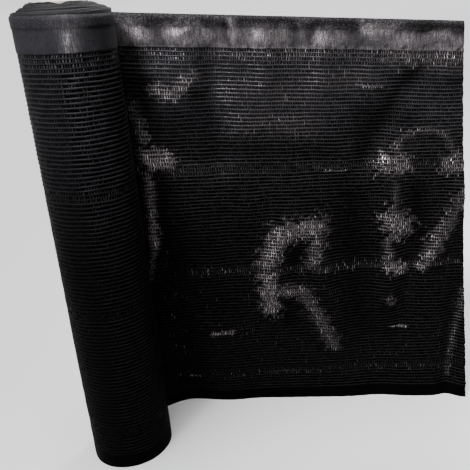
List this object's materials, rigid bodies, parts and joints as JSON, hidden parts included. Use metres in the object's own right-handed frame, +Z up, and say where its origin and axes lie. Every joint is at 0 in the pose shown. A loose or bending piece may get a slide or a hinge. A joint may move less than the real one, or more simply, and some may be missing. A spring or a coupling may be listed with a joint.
{
  "type": "privacy screen netting roll",
  "caption": "Roll of black knitted privacy screen netting on a paperboard core, standing on end, with a loose length drawn off its back and standing beside it.",
  "frame": {"origin": "middle of the part's box, on the surface that the roll stands on", "axes": "+Z up along the roll, +X along the loose sheet away from the roll, +Y towards the side where the sheet leaves the roll"},
  "size_m": [0.965, 0.2354, 1.022],
  "materials": {
    "paperboard": "matte",
    "netting": "satin"
  },
  "bodies": {
    "root": {"core": "paperboard", "wound_roll": "netting", "loose_sheet": "netting"}
  },
  "joints": []
}
